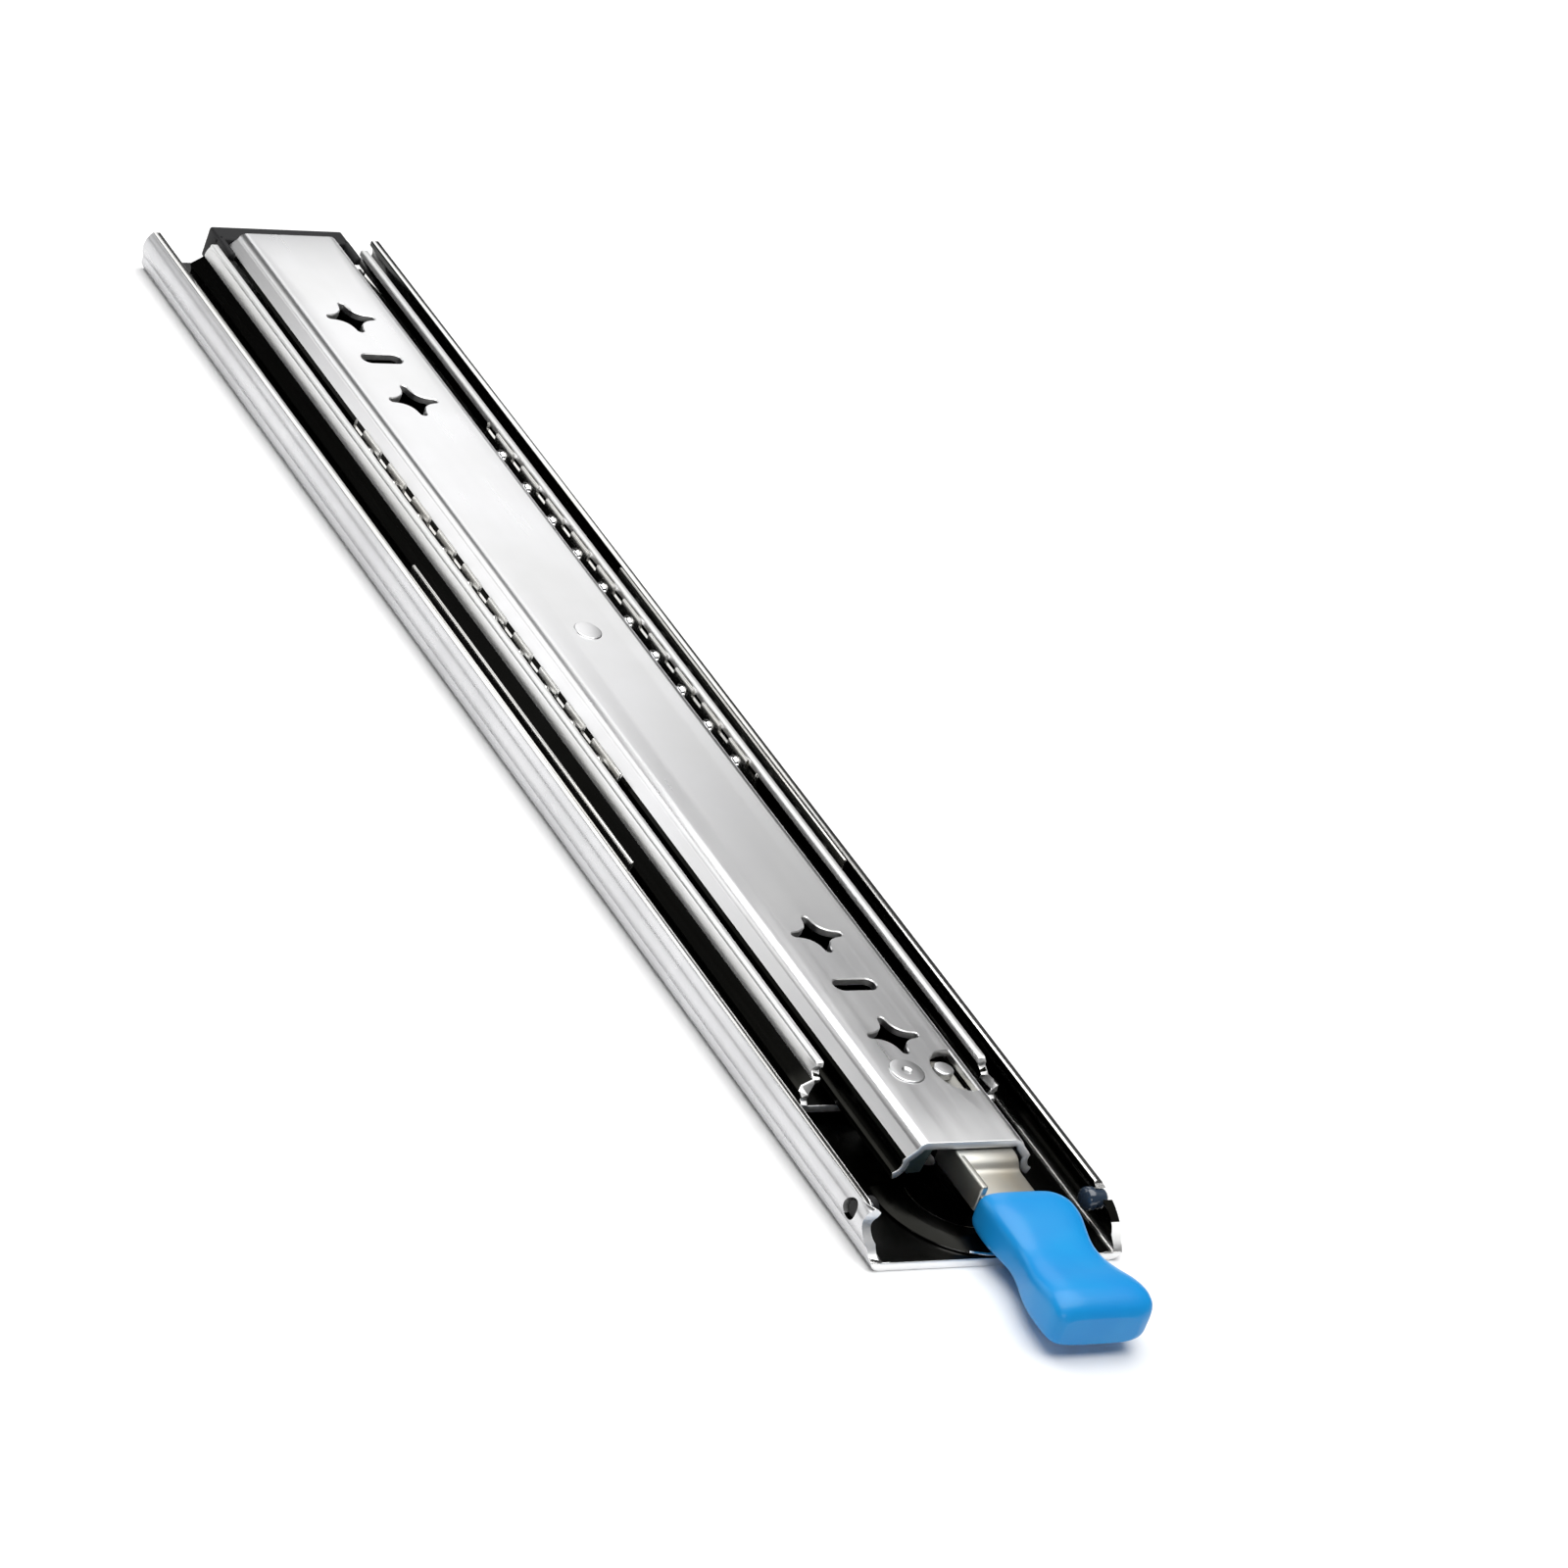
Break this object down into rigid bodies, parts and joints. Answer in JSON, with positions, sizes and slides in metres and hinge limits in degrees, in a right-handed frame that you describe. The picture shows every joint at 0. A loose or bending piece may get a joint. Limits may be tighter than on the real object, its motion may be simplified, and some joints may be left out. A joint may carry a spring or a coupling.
{
  "type": "drawer slide",
  "caption": "Side-mounted, full-extension ball-bearing drawer slide: nested steel channels that telescope, with a front lock lever and a plastic grip.",
  "frame": {"origin": "centre of the cabinet member's mounting face, halfway along and across it", "axes": "X across the slide; Y along it, with the front and the lever at -Y and the rear at +Y; Z out of the cabinet face towards the drawer"},
  "size_m": [0.0762, 0.486, 0.0191],
  "materials": {
    "bright_zinc": "bright zinc plate, faint draw lines along the length",
    "satin_zinc": "satin zinc plate on rolled sheet",
    "cage_steel": "stamped steel strip, light oil",
    "ball_steel": "polished bearing steel",
    "lever_steel": "zinc plate with a warm passivated tint",
    "spring_steel": "drawn spring wire",
    "blue_plastic": "soft-gloss moulded plastic, mid blue",
    "black_rubber": "matt black bumper rubber"
  },
  "bodies": {
    "cabinet": {"cabinet_member": "bright_zinc", "lock_catch": "bright_zinc", "catch_rivet_left": "satin_zinc", "catch_rivet_right": "satin_zinc", "front_bumper_left": "black_rubber", "front_bumper_right": "black_rubber", "rear_bumper": "black_rubber", "rear_bumper_rivet": "satin_zinc"},
    "middle": {"middle_member": "bright_zinc", "closing_bumper": "black_rubber", "closing_bumper_rivet": "satin_zinc"},
    "drawer": {"drawer_member": "satin_zinc", "lever_pivot_rivet": "satin_zinc", "extension_stop_rivet": "satin_zinc", "lever_spring": "spring_steel"},
    "lever": {"lock_lever": "lever_steel", "lever_stop_pin": "satin_zinc", "lever_handle": "blue_plastic"},
    "outer_cage_left": {"outer_cage_left": "cage_steel", "outer_ball_left_1": "ball_steel", "outer_ball_left_2": "ball_steel", "outer_ball_left_3": "ball_steel", "outer_ball_left_4": "ball_steel", "outer_ball_left_5": "ball_steel", "outer_ball_left_6": "ball_steel", "outer_ball_left_7": "ball_steel", "outer_ball_left_8": "ball_steel"},
    "inner_cage_left": {"inner_cage_left": "cage_steel", "inner_ball_left_1": "ball_steel", "inner_ball_left_2": "ball_steel", "inner_ball_left_3": "ball_steel", "inner_ball_left_4": "ball_steel", "inner_ball_left_5": "ball_steel", "inner_ball_left_6": "ball_steel", "inner_ball_left_7": "ball_steel", "inner_ball_left_8": "ball_steel", "inner_ball_left_9": "ball_steel", "inner_ball_left_10": "ball_steel"},
    "outer_cage_right": {"outer_cage_right": "cage_steel", "outer_ball_right_1": "ball_steel", "outer_ball_right_2": "ball_steel", "outer_ball_right_3": "ball_steel", "outer_ball_right_4": "ball_steel", "outer_ball_right_5": "ball_steel", "outer_ball_right_6": "ball_steel", "outer_ball_right_7": "ball_steel", "outer_ball_right_8": "ball_steel"},
    "inner_cage_right": {"inner_cage_right": "cage_steel", "inner_ball_right_1": "ball_steel", "inner_ball_right_2": "ball_steel", "inner_ball_right_3": "ball_steel", "inner_ball_right_4": "ball_steel", "inner_ball_right_5": "ball_steel", "inner_ball_right_6": "ball_steel", "inner_ball_right_7": "ball_steel", "inner_ball_right_8": "ball_steel", "inner_ball_right_9": "ball_steel", "inner_ball_right_10": "ball_steel"}
  },
  "joints": [
    {"name": "middle_slide", "type": "slide", "parent": "cabinet", "child": "middle", "axis": [0, -1, 0], "range_m": [0, 0.262]},
    {"name": "drawer_slide", "type": "slide", "parent": "middle", "child": "drawer", "axis": [0, -1, 0], "range_m": [0, 0.186]},
    {"name": "lever_hinge", "type": "hinge", "parent": "drawer", "child": "lever", "pos_m": [-0.0041, -0.1722, 0.0156], "axis": [0, 0, 1], "range_deg": [-10, 0], "stiffness_Nm_per_rad": 0.2, "springref_deg": 5},
    {"name": "outer_cage_left_roll", "type": "slide", "parent": "cabinet", "child": "outer_cage_left", "axis": [0, -1, 0], "range_m": [0, 0.131]},
    {"name": "outer_cage_right_roll", "type": "slide", "parent": "cabinet", "child": "outer_cage_right", "axis": [0, -1, 0], "range_m": [0, 0.131]},
    {"name": "inner_cage_left_roll", "type": "slide", "parent": "middle", "child": "inner_cage_left", "axis": [0, -1, 0], "range_m": [0, 0.093]},
    {"name": "inner_cage_right_roll", "type": "slide", "parent": "middle", "child": "inner_cage_right", "axis": [0, -1, 0], "range_m": [0, 0.093]}
  ],
  "couplings": [
    {"joint": "outer_cage_left_roll", "follows": "middle_slide", "ratio": 0.5},
    {"joint": "outer_cage_right_roll", "follows": "middle_slide", "ratio": 0.5},
    {"joint": "inner_cage_left_roll", "follows": "drawer_slide", "ratio": 0.5},
    {"joint": "inner_cage_right_roll", "follows": "drawer_slide", "ratio": 0.5}
  ]
}
